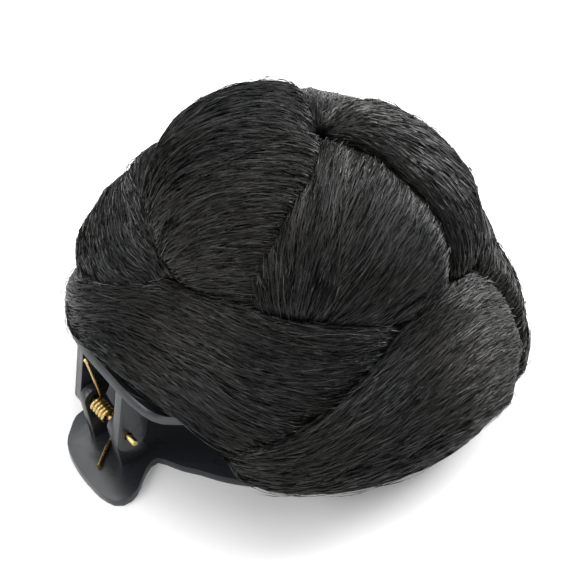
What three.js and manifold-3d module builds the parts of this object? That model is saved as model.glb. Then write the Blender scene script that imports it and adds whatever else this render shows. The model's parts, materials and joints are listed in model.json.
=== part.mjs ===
// Top knot hairpiece: a bun of overlapping hair locks carried by a two-part claw clip.
// Millimetres, +Z up. The hinge of the clip runs along Y and the bun lies towards +X.

import * as THREE from 'three';
import { mergeVertices } from 'three/addons/utils/BufferGeometryUtils.js';
import Module from 'manifold-3d';

const wasm = await Module();
wasm.setup();

// Bun: an outer ring of hair around a domed crown
const RING_RADIUS = 45;
const RING_HALF_WIDTH = 22;
const RING_HALF_HEIGHT = 21;
const CROWN_RADIUS = 53;
const CROWN_HALF_HEIGHT = 39.8;
const CROWN_RISE = 22.8;
const CREASE_BLEND = 14;
const LOCK_DEPTH = 9;
const LOCK_GAP = 0.55;
const LOCK_EDGE = 0.06;
const EVENNESS = 0.65;
const PARTING_WIDTH = 0.9;
const PAD_GAP = 0.7;
const PAD_HOLLOW = 14;
const BUN_TILT = 9;
const BUN_REACH = 61.8;
const BUN_OFFSET = -8.1;

// Claw clip: both halves share the plate thickness and stand the same way off the hinge
const HINGE_HEIGHT = 18;
const PLATE = 2.5;
const TAB_LENGTH = 11.6;
const TAB_HALF_WIDTH = 19.4;
const HANDLE_HALF_WIDTH = 27;
const JAW_LENGTH = 38;
const JAW_HALF_WIDTH = 43;
const TOOTH_LENGTH = 15;
const TOOTH_WIDTH = 6;
const LOWER_TEETH = 6;
const TOOTH_LIFT = 4.2;
const MOUTH_ANGLE = 31.8;
const EAR_THICKNESS = 2.8;
const NEAR_EAR = 6.3;
const FAR_EAR = 4.7;
const EAR_GAP = 0.6;
const EAR_SETBACK = 1.4;
const CLIP_GAP = 0.4;

// Hinge pin and torsion spring
const PIN_RADIUS = 0.95;
const PIN_GAP = 0.35;
const PIN_NEAR_END = 3.4;
const PIN_FAR_END = 1.4;
const WIRE_RADIUS = 0.6;
const SPRING_GAP = 0.35;
const SPRING_TURNS = 5;
const SPRING_PITCH = 1.3;
const SEAT_GAP = 0.3;

const degrees = THREE.MathUtils.degToRad;

const hairMaterial = new THREE.MeshStandardMaterial({ color: 0x242423, roughness: 0.62, metalness: 0 });
const padMaterial = new THREE.MeshStandardMaterial({ color: 0x151515, roughness: 0.95, metalness: 0 });
const clipMaterial = new THREE.MeshStandardMaterial({ color: 0x4a4e52, roughness: 0.42, metalness: 0 });
const brassMaterial = new THREE.MeshStandardMaterial({ color: 0xc9a24a, roughness: 0.3, metalness: 1 });

// Solids from geometries, and meshes from solids
function solidOf(geometry) {
  const bare = geometry.clone();
  bare.deleteAttribute('normal');
  bare.deleteAttribute('uv');
  const merged = mergeVertices(bare, 1e-4);
  const vertProperties = new Float32Array(merged.attributes.position.array);
  const triVerts = new Uint32Array(merged.index.array);
  return new wasm.Manifold(new wasm.Mesh({ numProp: 3, vertProperties, triVerts }));
}

// Triangles of the largest body of a mesh, so that offcuts of a cut are left behind
function mainBody(vertProperties, triVerts) {
  const owner = Array.from({ length: vertProperties.length / 3 }, (unused, i) => i);
  const root = (i) => {
    let at = i;
    while (owner[at] !== at) {
      at = owner[at];
    }
    return at;
  };
  for (let i = 0; i < triVerts.length; i += 3) {
    owner[root(triVerts[i])] = root(triVerts[i + 1]);
    owner[root(triVerts[i + 1])] = root(triVerts[i + 2]);
  }
  const corner = (i) => new THREE.Vector3().fromArray(vertProperties, 3 * triVerts[i]);
  const volumes = new Map();
  for (let i = 0; i < triVerts.length; i += 3) {
    const body = root(triVerts[i]);
    const volume = corner(i).dot(corner(i + 1).cross(corner(i + 2))) / 6;
    volumes.set(body, (volumes.get(body) ?? 0) + volume);
  }
  const largest = [...volumes.keys()].reduce((a, b) => (volumes.get(a) > volumes.get(b) ? a : b));
  return triVerts.filter((unused, i) => root(triVerts[i - i % 3]) === largest);
}

function meshOf(name, solid, material) {
  const { vertProperties, triVerts } = solid.getMesh();
  const full = new THREE.BufferGeometry();
  full.setAttribute('position', new THREE.BufferAttribute(new Float32Array(vertProperties), 3));
  full.setIndex(new THREE.BufferAttribute(mainBody(vertProperties, triVerts), 1));
  const geometry = mergeVertices(full.toNonIndexed(), 1e-5);
  geometry.computeVertexNormals();
  const mesh = new THREE.Mesh(geometry, material);
  mesh.name = name;
  return mesh;
}

// Skin over a row of closed sections. A section's first half runs along the outer face
// and its second half comes back along the inner face, point under point
function loft(sections) {
  const count = sections[0].length;
  const last = (sections.length - 1) * count;
  const index = [];
  const quad = (a, b, c, d) => index.push(a, b, c, a, c, d);
  for (let first = 0; first < last; first += count) {
    for (let j = 0; j < count; j += 1) {
      const next = (j + 1) % count;
      quad(first + j, first + count + j, first + count + next, first + next);
    }
  }
  for (let j = 0; j + 1 < count / 2; j += 1) {
    quad(j, j + 1, count - 2 - j, count - 1 - j);
    quad(last + count - 1 - j, last + count - 2 - j, last + j + 1, last + j);
  }
  const geometry = new THREE.BufferGeometry().setFromPoints(sections.flat());
  geometry.setIndex(index);
  return geometry;
}

// Side outline in x and z, pressed out along y between two values
function slab(shape, yLow, yHigh, curveSegments = 8) {
  const settings = { depth: yHigh - yLow, bevelEnabled: false, curveSegments };
  const geometry = new THREE.ExtrudeGeometry(shape, settings);
  geometry.rotateX(Math.PI / 2);
  geometry.translate(0, yHigh, 0);
  return geometry;
}

function outline(points) {
  return new THREE.Shape(points.map(([x, y]) => new THREE.Vector2(x, y)));
}

// Smooth line through points, cut into a number of even steps
function smoothed(points, steps) {
  const curve = new THREE.SplineCurve(points.map(([x, y]) => new THREE.Vector2(x, y)));
  return curve.getSpacedPoints(steps).map(({ x, y }) => [x, y]);
}

// The bun's outer surface: distance from its centre at a latitude, seen from the centre
function ringDistance(latitude) {
  const across = Math.cos(latitude);
  const up = Math.sin(latitude);
  const a = (across / RING_HALF_WIDTH) ** 2 + (up / RING_HALF_HEIGHT) ** 2;
  const b = -2 * RING_RADIUS * across / RING_HALF_WIDTH ** 2;
  const c = (RING_RADIUS / RING_HALF_WIDTH) ** 2 - 1;
  const inside = b * b - 4 * a * c;
  return inside > 0 ? (-b + Math.sqrt(inside)) / (2 * a) : 0.9 * -b / (2 * a);
}

function crownDistance(latitude) {
  const across = Math.cos(latitude);
  const up = Math.sin(latitude);
  const a = (across / CROWN_RADIUS) ** 2 + (up / CROWN_HALF_HEIGHT) ** 2;
  const b = -2 * CROWN_RISE * up / CROWN_HALF_HEIGHT ** 2;
  const c = (CROWN_RISE / CROWN_HALF_HEIGHT) ** 2 - 1;
  return (-b + Math.sqrt(b * b - 4 * a * c)) / (2 * a);
}

function bunDistance(latitude) {
  const ring = ringDistance(latitude);
  const crown = crownDistance(latitude);
  const overlap = Math.max(0, CREASE_BLEND - Math.abs(ring - crown));
  return Math.max(ring, crown) + overlap ** 2 / (4 * CREASE_BLEND);
}

// The profile of the bun from under its ring up to the crown's top, and the length along it
function bunProfile(latitude) {
  return new THREE.Vector2(Math.cos(latitude), Math.sin(latitude)).multiplyScalar(bunDistance(latitude));
}

// A point of the profile moved out along the surface's normal
function offsetProfile(latitude, offset) {
  const step = degrees(0.2);
  const along = bunProfile(latitude + step).sub(bunProfile(latitude - step)).normalize();
  return bunProfile(latitude).add(new THREE.Vector2(along.y, -along.x).multiplyScalar(offset));
}

const LOWEST = degrees(-27.4);
const PROFILE_STEPS = 240;
const latitudes = [];
for (let i = 0; i <= PROFILE_STEPS; i += 1) {
  latitudes.push(THREE.MathUtils.lerp(LOWEST, Math.PI / 2, i / PROFILE_STEPS));
}
const girths = [0];
for (let i = 1; i < latitudes.length; i += 1) {
  girths.push(girths[i - 1] + bunProfile(latitudes[i]).distanceTo(bunProfile(latitudes[i - 1])));
}

function lookUp(keys, values, key) {
  const above = keys.findIndex((each, i) => i > 0 && each >= key);
  const i = above < 0 ? keys.length - 1 : above;
  return THREE.MathUtils.mapLinear(key, keys[i - 1], keys[i], values[i - 1], values[i]);
}

// Place on the bun: along the ring and along the profile in millimetres, out from the surface
function bunPoint(round, girth, offset) {
  const azimuth = round / RING_RADIUS;
  const latitude = lookUp(girths, latitudes, THREE.MathUtils.clamp(girth, 0, girths.at(-1)));
  const point = offsetProfile(latitude, offset);
  return new THREE.Vector3(point.x * Math.cos(azimuth), point.x * Math.sin(azimuth), point.y);
}

function placeOf(azimuth, latitude, lift) {
  const girth = lookUp(latitudes, girths, degrees(latitude));
  return new THREE.Vector3(RING_RADIUS * degrees(azimuth), girth, lift);
}

// Lock tables. Each row is one section across the lock, in degrees about the bun's centre:
// azimuth and latitude of its low edge, then of its high edge, and its lift in shares of LOCK_DEPTH
const LOCKS = {
  ring_lock_front_right: [
    [212, -16, 213, -2, -0.55],
    [219, -23, 221, 4, -0.05],
    [228, -27, 233, 11, 0.1],
    [240, -27, 247, 20, 0.08],
    [252, -27, 262, 28, 0.01],
    [262, -27, 276, 33, 0],
    [271, -27, 290, 34, 0.05],
    [278, -27, 300, 31, 0.12],
    [284, -26, 309, 25, 0.16],
    [288, -24, 313, 19, -0.4],
  ],
  ring_lock_front_left: [
    [116, -24, 120, -6, -0.7],
    [134, -24, 140, 4, -0.3],
    [152, -15, 158, 15, -0.2],
    [168, 0, 176, 27, -0.22],
    [186, 4, 191, 32, -0.2],
    [202, 3, 205, 34, -0.12],
    [216, -1, 220, 34, -0.02],
    [232, -3, 236, 33.5, -0.08],
    [247, 2, 250, 32, -0.3],
    [262, 9, 264, 29, -0.65],
  ],
  ring_lock_right: [
    [276, -25, 288, 18, -0.9],
    [290, -27, 303, 30, 0.08],
    [304, -27, 316, 35, 0.24],
    [322, -27, 332, 36, 0.08],
    [342, -27, 348, 35, -0.1],
    [362, -27, 366, 34, 0.02],
    [380, -27, 385, 33, 0.06],
    [394, -27, 401, 31, 0.04],
    [405, -26, 412, 28, -0.1],
    [412, -22, 418, 22, -0.5],
  ],
  ring_lock_left: [
    [434, -22, 438, 12, -0.85],
    [446, -26, 452, 26, -0.3],
    [460, -27, 466, 34, 0.06],
    [478, -27, 484, 37, 0.08],
    [496, -26, 503, 38, -0.45],
    [512, -20, 520, 38, -0.6],
    [526, -4, 532, 35, -0.7],
    [540, 5, 545, 29, -0.8],
  ],
  ring_lock_back: [
    [388, -22, 392, 16, -0.9],
    [398, -26, 403, 28, -0.55],
    [409, -27, 414, 33, -0.12],
    [424, -27, 428, 34, 0],
    [440, -27, 442, 32, -0.06],
    [454, -24, 456, 26, -0.4],
    [466, -20, 468, 18, -0.85],
  ],
  crown_lock_right: [
    [284, 88.3, 380, 88.3, -0.4],
    [292, 82, 380, 79, -0.02],
    [296, 74, 382, 70, -0.02],
    [294, 65, 382, 60, -0.03],
    [294, 55, 381, 50, -0.04],
    [291, 46, 379, 41, 0],
    [287, 36, 377, 33, -0.22],
    [286, 28, 376, 27, -0.75],
  ],
  crown_lock_front: [
    [232, 88.3, 296, 88.3, -0.4],
    [226, 80, 303, 82, -0.06],
    [220, 71, 303, 73, 0.04],
    [214, 61, 302, 64, 0.05],
    [213, 51, 302, 55, 0.02],
    [215, 41, 300, 45, -0.06],
    [217, 34, 296, 36, -0.35],
    [218, 27, 292, 28, -0.75],
  ],
  crown_lock_left: [
    [66, 88.3, 236, 88.3, -0.45],
    [62, 78, 234, 80, 0.02],
    [60, 68, 230, 71, 0.12],
    [60, 58, 226, 61, 0.14],
    [61, 49, 224, 51, 0.05],
    [63, 41, 224, 42, -0.15],
    [66, 34, 225, 34, -0.4],
    [68, 28, 226, 28, -0.75],
  ],
  crown_lock_back: [
    [374, 88.3, 430, 88.3, -0.45],
    [371, 79, 430, 78, -0.25],
    [371, 69, 428, 68, -0.25],
    [371, 59, 427, 58, -0.28],
    [371, 49, 428, 49, -0.22],
    [370, 41, 430, 41, -0.2],
    [369, 34, 432, 34, -0.4],
    [368, 28, 434, 28, -0.75],
  ],
};

function edgeCurve(places) {
  return new THREE.CatmullRomCurve3(places, false, 'catmullrom');
}

// One lock: a flat-bottomed lens in every section, rounded at both long edges, grown by a gap.
// As a parting tool it also reaches deep and stands tall along its middle, to part the lock below
function lockGeometry(rows, grow = 0, parting = false) {
  const steps = 14;
  const columns = 10;
  const roundness = 3;
  const edge = LOCK_EDGE * LOCK_DEPTH + 2 * grow;
  const bottom = -LOCK_DEPTH - grow;
  const deep = parting ? LOCK_DEPTH / 3 : 0;
  const low = edgeCurve(rows.map((row) => placeOf(row[0], row[1], row[4])));
  const high = edgeCurve(rows.map((row) => placeOf(row[2], row[3], row[4])));
  const sections = [];
  for (let i = 0; i <= steps; i += 1) {
    const a = low.getPoint(i / steps);
    const b = high.getPoint(i / steps);
    const across = new THREE.Vector2(b.x - a.x, b.y - a.y).setLength(grow);
    const middle = low.getTangent(i / steps).add(high.getTangent(i / steps));
    const past = i === 0 ? -grow : grow * Number(i === steps);
    const slide = new THREE.Vector2(middle.x, middle.y).setLength(past);
    const place = (t, offset) => bunPoint(
      THREE.MathUtils.lerp(a.x - across.x, b.x + across.x, (t + 1) / 2) + slide.x,
      THREE.MathUtils.lerp(a.y - across.y, b.y + across.y, (t + 1) / 2) + slide.y,
      offset,
    );
    const height = LOCK_DEPTH * (1 + a.z) + 2 * grow;
    const outer = [];
    const inner = [];
    for (let j = 0; j <= columns; j += 1) {
      const u = 2 * j / columns - 1;
      const t = THREE.MathUtils.lerp(Math.sin(u * Math.PI / 2), u, EVENNESS);
      const crown = (1 - Math.abs(t) ** roundness) ** (1 / roundness);
      const tall = parting ? height * Math.max(0, 1 - (Math.abs(t) / PARTING_WIDTH) ** 8) : 0;
      outer.push(place(t, bottom + edge + (height - edge) * crown + tall));
      inner.unshift(place(t, bottom - deep));
    }
    sections.push([...outer, ...inner]);
  }
  return loft(sections);
}

// The pad that carries the locks: the bun's surface drawn in by their depth, hollow below
function padGeometry() {
  const profile = [];
  const lowest = degrees(-26);
  const steps = 18;
  for (let i = 0; i <= steps; i += 1) {
    const latitude = THREE.MathUtils.lerp(lowest, Math.PI / 2, i / steps);
    profile.push(offsetProfile(latitude, -LOCK_DEPTH - PAD_GAP));
  }
  profile[steps].x = 0;
  profile.unshift(new THREE.Vector2(0, profile[0].y + PAD_HOLLOW / 2));
  return new THREE.LatheGeometry(profile, 36).rotateX(Math.PI / 2);
}

// Clip halves. Both are drawn about the hinge axis, lower half way up, plate flat
const plateTop = PLATE - HINGE_HEIGHT;
const jawBearing = degrees(MOUTH_ANGLE / 2);
const jawLine = new THREE.Vector3(Math.cos(jawBearing), 0, -Math.sin(jawBearing));

// Height of the upper plate at x, at a depth below its top face
function upperLevel(x, depth) {
  const slope = degrees(MOUTH_ANGLE);
  return (HINGE_HEIGHT - depth) / Math.cos(slope) - x * Math.tan(slope);
}

// Finger tab of the lower half, in shares of TAB_LENGTH and TAB_HALF_WIDTH, one side after the other
const TAB_NEAR = [[-0.98, -0.12], [-1, -0.46], [-0.96, -0.74], [-0.8, -0.95], [-0.52, -1],
  [-0.22, -0.95], [0.14, -0.79], [0.4, -0.69], [0.6, -0.655], [0.76, -0.69]];
const TAB_FAR = [[0.76, 0.69], [0.6, 0.655], [0.4, 0.69], [0.14, 0.79], [-0.14, 0.75],
  [-0.46, 0.59], [-0.7, 0.45], [-0.86, 0.25]];

// Wing and jaw of a half, in shares of JAW_LENGTH and JAW_HALF_WIDTH
const WING = [[0.31, 0.45], [0.395, 0.56], [0.475, 0.68], [0.57, 0.79], [0.68, 0.89], [0.82, 0.97], [1, 1]];

// End of the upper half's handle, in shares of TAB_LENGTH and HANDLE_HALF_WIDTH, from its near
// corner round to its far one, and the side of its jaw in shares of JAW_LENGTH and JAW_HALF_WIDTH
const HANDLE_END = [[-0.6, 1], [-0.85, 0.915], [-0.97, 0.755], [-1.02, 0.507], [-0.97, 0.196],
  [-0.94, -0.06], [-0.88, -0.267], [-0.77, -0.456], [-0.61, -0.648], [-0.38, -0.84], [-0.1, -0.95]];
const JAW_SIDE = [[0.3, -0.7], [0.62, -0.86], [1, -1]];

function mirrored(points) {
  return points.map(([x, y]) => [x, -y]).reverse();
}

function lowerPlan() {
  const near = TAB_NEAR.map(([x, y]) => [x * TAB_LENGTH, y * TAB_HALF_WIDTH]);
  const far = TAB_FAR.map(([x, y]) => [x * TAB_LENGTH, y * TAB_HALF_WIDTH]);
  const wing = WING.map(([x, y]) => [x * JAW_LENGTH, -y * JAW_HALF_WIDTH]);
  return outline(smoothed([...mirrored(wing), ...far, ...near, ...wing], 60));
}

// The upper half is turned over, so its far side is drawn first
function upperPlan() {
  const end = HANDLE_END.map(([x, y]) => [x * TAB_LENGTH, y * HANDLE_HALF_WIDTH]);
  const jaw = JAW_SIDE.map(([x, y]) => [x * JAW_LENGTH, y * JAW_HALF_WIDTH]);
  return outline([...smoothed(end, 20), ...jaw, ...mirrored(jaw)]);
}

function plateGeometry(plan) {
  const geometry = new THREE.ExtrudeGeometry(plan, { depth: PLATE, bevelEnabled: false });
  return geometry.translate(0, 0, plateTop - PLATE);
}

// Jaw teeth bend up from the plate's front edge
function toothGeometry(y) {
  const root = JAW_LENGTH - PLATE;
  const tip = JAW_LENGTH + TOOTH_LENGTH;
  const side = new THREE.Shape();
  side.moveTo(root, plateTop - PLATE);
  side.lineTo(JAW_LENGTH, plateTop - PLATE);
  side.quadraticCurveTo(tip - PLATE, plateTop - PLATE, tip, plateTop + TOOTH_LIFT - PLATE / 2);
  side.lineTo(tip - PLATE / 2, plateTop + TOOTH_LIFT);
  side.quadraticCurveTo(tip - 2 * PLATE, plateTop, JAW_LENGTH, plateTop);
  side.lineTo(root, plateTop);
  return slab(side, y - TOOTH_WIDTH / 2, y + TOOTH_WIDTH / 2, 5);
}

// Plate with a row of teeth. Both halves keep one pitch, so a row of one tooth less stands between
function comb(plan, teeth) {
  const pitch = (2 * JAW_HALF_WIDTH - TOOTH_WIDTH) / (LOWER_TEETH - 1);
  const geometries = [plateGeometry(plan)];
  for (let i = 0; i < teeth; i += 1) {
    geometries.push(toothGeometry((i - (teeth - 1) / 2) * pitch));
  }
  return geometries;
}

// Ears, in millimetres off the hinge axis: the rounded end that holds the pin, and the two
// places where the ear's front and back edges meet its plate
const LOWER_EAR = { round: 3.4, x: 0.5, z: 0.3, front: -1.1, back: 8.6 };
const UPPER_EAR = { round: 4.9, x: 1.1, z: -1.2, front: -0.2, back: 9.2 };

// Lower ear: a fin whose rounded top holds the pin
function lowerEarShape() {
  const { round, x, z, front, back } = LOWER_EAR;
  const shape = new THREE.Shape();
  shape.moveTo(front, plateTop - PLATE / 2);
  shape.lineTo(x - round, z);
  shape.absarc(x, z, round, Math.PI, 0, true);
  shape.lineTo(back, plateTop - PLATE / 2);
  return shape;
}

// Upper ear, as it hangs at rest: a tapered lug whose rounded lower end holds the pin
function upperEarShape() {
  const { round, x, z, front, back } = UPPER_EAR;
  const shape = new THREE.Shape();
  shape.moveTo(front, upperLevel(front, PLATE / 2));
  shape.lineTo(x - round, z);
  shape.absarc(x, z, round, Math.PI, 2 * Math.PI, false);
  shape.lineTo(back, upperLevel(back, PLATE / 2));
  return shape;
}

// Ears on both sides of the coil, moved out by a spare width; the far one is also set back
function earPair(shape, spare, back) {
  const near = -NEAR_EAR - spare;
  const far = FAR_EAR + spare;
  return [
    solidOf(slab(shape, near - EAR_THICKNESS, near)),
    solidOf(slab(shape, far, far + EAR_THICKNESS).translate(back, 0, 0)),
  ];
}

function pinBore() {
  const bore = new THREE.CylinderGeometry(
    PIN_RADIUS + PIN_GAP, PIN_RADIUS + PIN_GAP, 4 * JAW_HALF_WIDTH, 16);
  return solidOf(bore);
}

function join(solids) {
  return solids.reduce((sum, solid) => sum.add(solid));
}

function lowerHalf() {
  const jaw = comb(lowerPlan(), LOWER_TEETH).map(solidOf);
  return join([...jaw, ...earPair(lowerEarShape(), 0, 0)]).subtract(pinBore());
}

function upperHalf() {
  const turn = new THREE.Matrix4().makeRotationAxis(jawLine, Math.PI);
  const jaw = comb(upperPlan(), LOWER_TEETH - 1).map((piece) => solidOf(piece.applyMatrix4(turn)));
  const ears = earPair(upperEarShape(), EAR_THICKNESS + EAR_GAP, EAR_SETBACK);
  return join([...jaw, ...ears]).subtract(pinBore());
}

function hingePin() {
  const ears = 2 * EAR_THICKNESS + EAR_GAP;
  const near = -NEAR_EAR - ears - PIN_NEAR_END;
  const far = FAR_EAR + ears + PIN_FAR_END;
  const geometry = new THREE.CylinderGeometry(PIN_RADIUS, PIN_RADIUS, far - near, 16);
  return solidOf(geometry.translate(0, (near + far) / 2, 0));
}

// Torsion spring: coil about the pin, one leg up to the upper plate's end, one down onto the tab.
// Legs, one row a point: x in coil radii, y past the coil's end in coil radii, and height in
// shares of the way from the hinge axis to where the wire rests on its plate
const UPPER_LEG = [
  [-0.68, 0.42, 1],
  [-0.63, 0.16, 1],
  [-0.47, 0.05, 0.93],
  [0.32, 0.05, 0.5],
];
const LOWER_LEG = [
  [1.1, 0.13, 0.25],
  [1.22, 1.08, 0.6],
  [1.1, 1.87, 0.94],
  [0.5, 1.82, 1],
  [-3.58, -1.24, 1],
];

function springRoute() {
  const coilRadius = PIN_RADIUS + SPRING_GAP + WIRE_RADIUS;
  const halfCoil = SPRING_TURNS * SPRING_PITCH / 2;
  const rest = WIRE_RADIUS + SEAT_GAP;
  const points = [];
  for (const [across, past, share] of UPPER_LEG) {
    const x = across * coilRadius;
    points.push(new THREE.Vector3(x, halfCoil + past * coilRadius, share * upperLevel(x, PLATE + rest)));
  }
  const stepsPerTurn = 12;
  for (let i = 0; i <= SPRING_TURNS * stepsPerTurn; i += 1) {
    const turn = i / stepsPerTurn;
    const angle = 2 * Math.PI * turn;
    points.push(new THREE.Vector3(
      coilRadius * Math.cos(angle), halfCoil - SPRING_PITCH * turn, -coilRadius * Math.sin(angle)));
  }
  for (const [across, past, share] of LOWER_LEG) {
    const y = -halfCoil + past * coilRadius;
    points.push(new THREE.Vector3(across * coilRadius, y, share * (plateTop + rest)));
  }
  return new THREE.CatmullRomCurve3(points, false, 'centripetal');
}

function spring() {
  const section = new THREE.Shape().absarc(0, 0, WIRE_RADIUS, 0, 2 * Math.PI);
  const settings = { steps: 120, curveSegments: 3, extrudePath: springRoute(), bevelEnabled: false };
  return solidOf(new THREE.ExtrudeGeometry(section, settings));
}

// Space kept free of hair: everything below the upper half's top face, across the jaws
function clipSpace() {
  const margin = PLATE;
  const back = -2 * TAB_LENGTH;
  const front = JAW_LENGTH + TOOTH_LENGTH + margin;
  const frontTop = Math.max(upperLevel(front, -CLIP_GAP), plateTop + margin);
  const side = outline([
    [back, -HINGE_HEIGHT],
    [front, -HINGE_HEIGHT],
    [front, frontTop],
    [back, upperLevel(back, -CLIP_GAP)],
  ]);
  return solidOf(slab(side, -JAW_HALF_WIDTH - margin, JAW_HALF_WIDTH + margin));
}

// Assembly, about the hinge axis
const names = Object.keys(LOCKS);
const placing = new THREE.Matrix4().makeRotationY(degrees(BUN_TILT));
const tilt = degrees(BUN_TILT);
const ringDrop = Math.hypot(RING_HALF_HEIGHT * Math.cos(tilt), RING_HALF_WIDTH * Math.sin(tilt));
const bunHeight = RING_RADIUS * Math.sin(tilt) + ringDrop - HINGE_HEIGHT;
placing.setPosition(BUN_REACH, BUN_OFFSET, bunHeight);

const placed = (geometry) => solidOf(geometry.applyMatrix4(placing));
const space = clipSpace();
const parts = [];
names.forEach((name, place) => {
  let lock = placed(lockGeometry(LOCKS[name])).subtract(space);
  for (const upper of names.slice(0, place)) {
    lock = lock.subtract(placed(lockGeometry(LOCKS[upper], LOCK_GAP, true)));
  }
  parts.push(meshOf(name, lock, hairMaterial));
});
parts.push(meshOf('bun_pad', placed(padGeometry()).subtract(space), padMaterial));
parts.push(meshOf('upper_clip_half', upperHalf(), clipMaterial));
parts.push(meshOf('lower_clip_half', lowerHalf(), clipMaterial));
parts.push(meshOf('hinge_pin', hingePin(), brassMaterial));
parts.push(meshOf('torsion_spring', spring(), brassMaterial));

const model = new THREE.Group();
model.add(...parts);
const box = new THREE.Box3().setFromObject(model);
const centre = box.getCenter(new THREE.Vector3());
model.position.set(-centre.x, -centre.y, -box.min.z);

export default model;
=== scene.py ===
# Top knot hairpiece: locks of fine dark hair round a crown, on a sprung claw clip
import json
import math

import bpy
import numpy as np
from bpy.props import FloatProperty, FloatVectorProperty, IntProperty, PointerProperty
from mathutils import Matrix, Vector


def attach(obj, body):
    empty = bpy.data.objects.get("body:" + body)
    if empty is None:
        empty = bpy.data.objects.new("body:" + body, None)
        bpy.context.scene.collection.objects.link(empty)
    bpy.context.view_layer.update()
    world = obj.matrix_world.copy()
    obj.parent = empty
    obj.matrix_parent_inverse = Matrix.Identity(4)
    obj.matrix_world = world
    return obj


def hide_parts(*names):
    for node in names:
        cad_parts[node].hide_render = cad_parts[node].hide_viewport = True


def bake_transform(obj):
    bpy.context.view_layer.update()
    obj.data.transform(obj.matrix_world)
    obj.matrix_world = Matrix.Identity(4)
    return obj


bl_info = {
    "name": "Top Knot Hairpiece",
    "version": (1, 0, 0),
    "blender": (4, 5, 0),
    "location": "View3D > Sidebar > Hairpiece",
    "description": "Dresses a hair bun on a claw clip in locks, fibres, plastic and brass",
    "category": "Object",
}

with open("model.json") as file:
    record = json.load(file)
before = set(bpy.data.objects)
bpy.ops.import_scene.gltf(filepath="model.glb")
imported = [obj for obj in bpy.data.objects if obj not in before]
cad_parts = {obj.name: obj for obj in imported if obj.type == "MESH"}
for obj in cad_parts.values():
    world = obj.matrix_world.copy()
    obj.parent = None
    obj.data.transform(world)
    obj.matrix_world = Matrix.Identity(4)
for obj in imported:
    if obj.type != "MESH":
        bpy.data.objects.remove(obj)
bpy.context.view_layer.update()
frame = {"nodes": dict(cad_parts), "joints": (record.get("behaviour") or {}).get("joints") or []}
HINGE = np.array(frame["joints"][0]["pos_m"]) * 1000

# Bun in millimetres about the hinge, as in the part's source
RING_RADIUS = 45
RING_HALF_WIDTH = 22
RING_HALF_HEIGHT = 21
CROWN_RADIUS = 53
CROWN_HALF_HEIGHT = 39.8
CROWN_RISE = 22.8
CREASE_BLEND = 14
LOCK_DEPTH = 9
LOCK_EDGE = 0.06
BUN_TILT = math.radians(9)
BUN_REACH = 61.8
BUN_OFFSET = -8.1
HINGE_HEIGHT = 18
LOWEST = math.radians(-27.4)
PROFILE_POINTS = 1201

# Room between hair and clip in millimetres, how steeply hair may hang down past the clip's
# sides, and its room over the floor
CLIP_GAP = 0.4
CLIP_HALF_WIDTH = 43.5
BESIDE_CLIP = 2.2
FLOOR_GAP = 0.1

# Clip in millimetres
PLATE = 2.5
MOUTH_ANGLE = math.radians(31.8)
PIN_RADIUS = 0.95
WIRE_RADIUS = 0.6
SPRING_GAP = 0.35
SPRING_TURNS = 5
SPRING_PITCH = 1.3
SEAT_GAP = 0.3
COIL_RADIUS = PIN_RADIUS + SPRING_GAP + WIRE_RADIUS
HALF_COIL = SPRING_TURNS * SPRING_PITCH / 2

# Points on a turn of the spring, and steps from each point of its curve to the next
TURN_POINTS = 12
WIRE_STEPS = 3

# Corners closer together than this, in metres, are joined
DOUBLE_POINT = 0.00001

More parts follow.
